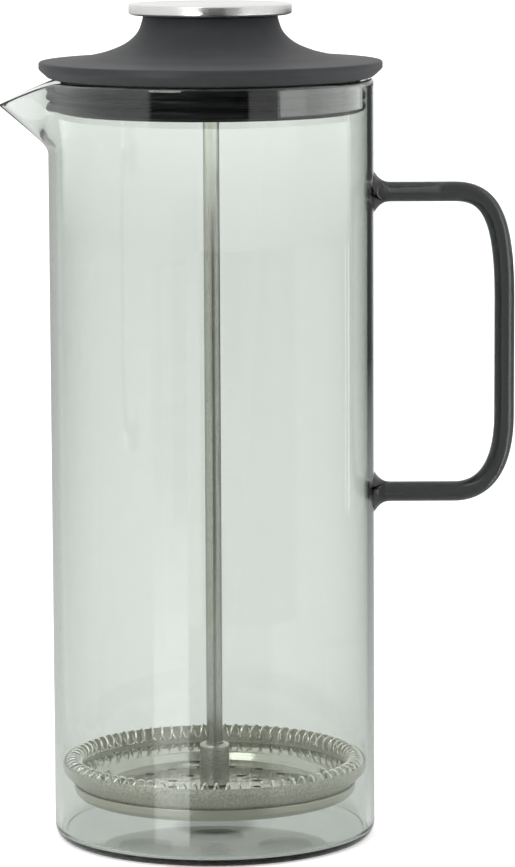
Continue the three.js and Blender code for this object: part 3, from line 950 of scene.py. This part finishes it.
screen = new_object("mesh_screen_woven", *mesh_screen(), MESH_STEEL, SMOOTH_SCREEN)
stands_for(screen, "mesh_screen", "plunger")


def cross_plate():
    """The pressed dish under the screen. Its large openings are cut afterwards."""
    low, high = box("cross_plate")
    rim, z = high[0], low[2]
    outline = [
        (SCREW_BORE, z, 0),
        (39, z, 1.5),
        (42.4, z + 0.7, 1.5),
        (43.7, z + 2, 1.5),
        (rim, high[2], 0.3),
        (rim - 0.8, high[2], 0.3),
        (42.9, z + 2.1, 1),
        (41.7, z + 1.2, 1),
        (38.8, z + 0.8, 1),
        (SCREW_BORE, z + 0.8, 0),
    ]
    return turned(rounded(outline), 224)


cross = new_object("cross_plate_pressed", *cross_plate(), CROSS_STEEL)
drilled(cross, ring_of(6, 26, 9), low=10, high=15, sides=64)
stands_for(cross, "cross_plate", "plunger")

nut_shape = hex_nut(8, SCREW_BORE, bottom("clamp_nut"), top("clamp_nut"))
nut = new_object("clamp_nut_hex", *nut_shape, HUB_STEEL, SMOOTH_NUT)
stands_for(nut, "clamp_nut", "plunger")

# ---- Studio -------------------------------------------------------------------------------------------

FLOOR_HALF, FLOOR_UNDER = 9000, 0.2


def floor_material():
    """Pale paper, lifted where the camera sees it so that it shows no wide shadow. Under the jug it has a
    painted glow that is seen through the glass, and round the middle a painted shadow of the hub: there the
    base colour is darker and the glow fades out."""
    t = Tree("floor_paper")
    path = t.nodes.new("ShaderNodeLightPath")
    looked_at = path.outputs["Is Camera Ray"]
    through = t.math("SUBTRACT", t.math("LESS_THAN", path.outputs["Diffuse Depth"], 0.5), looked_at)
    r = t.polar()[0]
    hub_shadow_edge = (9.5, 14.5)
    glow_edge = (47.0, 50.5)
    # painted glow: light that the floor gives off under the jug for rays that come through the glass, none
    # under the hub
    painted_glow = t.math("MULTIPLY", t.spread(r, 0.5, 0.0, *glow_edge), t.spread(r, 0.0, 1.0, *hub_shadow_edge))
    grain = t.shade(t.noise(t.place(), 0.02), (0.9, 0.9, 0.9), (0.92, 0.92, 0.92))
    # painted shadow: the base colour turns grey under the hub
    colours = {0: t.spread(r, 1.0, 0.0, *hub_shadow_edge), 6: grain, 7: (0.62, 0.62, 0.62, 1)}
    return t.finish(
        {
            "Base Color": t.add("Mix", colours, out=2, data_type="RGBA"),
            "Roughness": 0.9,
            "Specular IOR Level": 0.1,
            "Emission Color": WHITE,
            "Emission Strength": t.math("ADD", t.scaled(looked_at, 0.4), t.math("MULTIPLY", painted_glow, through)),
        }
    )


floor_corners = [(-1, -1), (1, -1), (1, 1), (-1, 1)]
floor_verts = [(x * FLOOR_HALF, y * FLOOR_HALF, -FLOOR_UNDER) for x, y in floor_corners]
floor = new_object("floor", floor_verts, [[0, 1, 2, 3]], floor_material())
floor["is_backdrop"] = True

# The cards are only seen in reflections. A bearing is an angle round the press, in degrees: 0 points to the
# camera's side and 90 to the handle.

CARD_R = 72
CARD_STEPS = 24


def card_material(name, brightness, outside_only=False):
    """A card that only polished surfaces see: other rays pass through it. brightness makes its value.
    outside_only hides it from what stands inside the jug."""
    t = Tree(name)
    path = t.nodes.new("ShaderNodeLightPath")
    seen = t.math("GREATER_THAN", path.outputs["Glossy Depth"], 0.5)
    if outside_only:
        seen = t.math("MULTIPLY", seen, t.math("LESS_THAN", path.outputs["Transmission Depth"], 2.5))
    card = t.add("Emission", {"Color": WHITE, "Strength": brightness(t)})
    mixed = t.add("MixShader", {0: seen, 1: t.add("BsdfTransparent"), 2: card})
    output = t.nodes.new("ShaderNodeOutputMaterial")
    t.links.new(mixed, output.inputs["Surface"])
    t.material.cycles.emission_sampling = "NONE"
    return t.material


def bearing(degrees):
    """The unit vector of a bearing."""
    a = math.radians(degrees)
    return math.sin(a), -math.cos(a)


def card_strip(edge_points, start, end):
    """Vertices and faces of a strip from one bearing to another. edge_points gives its two edges there."""
    verts, faces = [], []
    for k in range(CARD_STEPS + 1):
        verts += edge_points(*bearing(start + (end - start) * k / CARD_STEPS))
        if k:
            n = 2 * k
            faces.append([n - 2, n, n + 1, n - 1])
    return verts, faces


def flag(name, bearings, heights, values, distance=CARD_R, x0=0.0, outside_only=False):
    """A curved upright card round the axis at x0. Its values are those at its lower and its upper edge."""
    low, high = heights

    def edge_points(x, y):
        return [(x0 + x * distance, y * distance, z) for z in heights]

    def brightness(t):
        return t.spread(t.polar()[2], *values, low, high)

    material = card_material(name, brightness, outside_only)
    new_object(name, *card_strip(edge_points, *bearings), material)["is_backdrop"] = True


def floor_flag(name, bearings, values, edge=0):
    """A flat card just above the floor, from the first bearing to the line straight behind the press. It is
    white at the first bearing and fully dark from the second one on. Its values are those near the press and
    far from it. Within edge degrees of the line behind the press it is white again."""
    start, end = bearings
    inner, outer, up = 55, 6000, 0.6
    near, far, white = 150.0, 1200.0, 1.05
    fade = 6

    def edge_points(x, y):
        return [(x * inner, y * inner, up), (x * outer, y * outer, up)]

    def brightness(t):
        r, angle = t.polar()[:2]
        dark = t.spread(r, *values, near, far)
        # measured from the line straight behind the press, on either side
        behind = t.math("ABSOLUTE", t.math("SUBTRACT", angle, math.pi / 2))
        share = t.spread(behind, 1.0, 0.0, math.radians(180 - abs(end)), math.radians(180 - abs(start)))
        if edge:
            back = t.spread(behind, 0.0, 1.0, math.radians(edge - fade), math.radians(edge))
            share = t.math("MINIMUM", share, back)
        return t.add("Mix", {0: share, 2: white, 3: dark})

    strip = card_strip(edge_points, start, math.copysign(179, end))
    new_object(name, *strip, card_material(name, brightness))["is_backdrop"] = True


# each card's name, bearings, heights and values
CARDS = [
    ("flag_window_high", (-28, -13), (236, 252), (8, 8)),
    ("flag_base", (-11.3, 28), (0.5, 70), (0.6, 0.6)),
    ("flag_body", (-5, 28), (70, 185), (0.3, 0.3)),
    ("flag_body_dim", (28, 41), (70, 185), (0.5, 0.5)),
    ("flag_body_left", (-28, -11.3), (120, 185), (0.85, 0.85)),
    ("flag_glow", (-90, 80), (185, 222), (0.8, 2.4)),
    ("flag_gasket", (-28, 18), (222, 236), (0.02, 0.02)),
    ("flag_gasket_dim", (18, 33), (222, 236), (0.7, 0.7)),
    ("flag_gasket_light", (33, 47), (225, 238), (3.9, 3.9)),
    ("flag_gasket_right", (47, 72), (225, 238), (3.1, 3.1)),
    ("flag_gasket_side", (72, 95), (225, 238), (2.6, 2.6)),
    ("flag_high", (-13, 19), (236, 275), (0.12, 0.12)),
    ("flag_high_dim", (19, 37), (236, 275), (0.45, 0.45)),
]

flag("flag_window", (-28, -11.3), (0.5, 120), (3.4, 0.8), outside_only=True)
for card in CARDS:
    flag(*card)
flag("strip_handle", (38, 66), (96, 225), (3.4, 3.4), distance=7, x0=90.2)
floor_flag("floor_flag_left", (-95, -160), (0.78, 0.62))
floor_flag("floor_flag_right", (92, 138), (0.7, 0.06), edge=19)


def world(strength):
    """An even white room."""
    sky = bpy.data.worlds.new("room")
    sky.use_nodes = True
    background = sky.node_tree.nodes["Background"]
    background.inputs["Color"].default_value = WHITE
    background.inputs["Strength"].default_value = strength
    bpy.context.scene.world = sky


world(1.1)

PRESS_MIDDLE = Vector((0, 0, 0.12))


def softbox(name, azimuth, elevation, distance, size, power):
    """A soft light at that place round the press, aimed at its middle."""
    data = bpy.data.lights.new(name, "AREA")
    data.shape = "RECTANGLE"
    data.size, data.size_y = size
    data.energy = power
    light = bpy.data.objects.new(name, data)
    bpy.context.scene.collection.objects.link(light)
    a, e = math.radians(azimuth), math.radians(elevation)
    away = Vector((math.sin(a) * math.cos(e), -math.cos(a) * math.cos(e), math.sin(e)))
    light.location = PRESS_MIDDLE + away * distance
    light.rotation_mode = "QUATERNION"
    light.rotation_quaternion = away.to_track_quat("Z", "Y")


softbox("key_light", azimuth=-30, elevation=40, distance=1.6, size=(0.74, 1.2), power=5)

# ---- Camera -------------------------------------------------------------------------------------------

CAMERA_PLACE = Vector((0.01385, -1.34, 0.317))
CAMERA_AIM = Vector((0.01385, 0, 0.12566))
CAMERA_LEAN = math.radians(0.26)
LENS = 181.4


def camera():
    """The camera in front of the press, a little above the lid."""
    data = bpy.data.cameras.new("camera")
    data.sensor_width = 36
    data.lens = LENS
    data.clip_start, data.clip_end = 0.05, 60
    view = bpy.data.objects.new("camera", data)
    bpy.context.scene.collection.objects.link(view)
    view.location = CAMERA_PLACE
    view.rotation_mode = "QUATERNION"
    level = (CAMERA_PLACE - CAMERA_AIM).to_track_quat("Z", "Y")
    leaning = Vector((math.sin(CAMERA_LEAN), math.cos(CAMERA_LEAN), 0))
    view.rotation_quaternion = level @ Vector((0, 1, 0)).rotation_difference(leaning)
    bpy.context.scene.camera = view


camera()
scene = bpy.context.scene
scene.view_settings.view_transform = "Standard"
scene.view_settings.look = "None"

boxes = {"cad": CAD_BOX, "visual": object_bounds()}
{k: [list(c) for c in v] for k, v in boxes.items()}
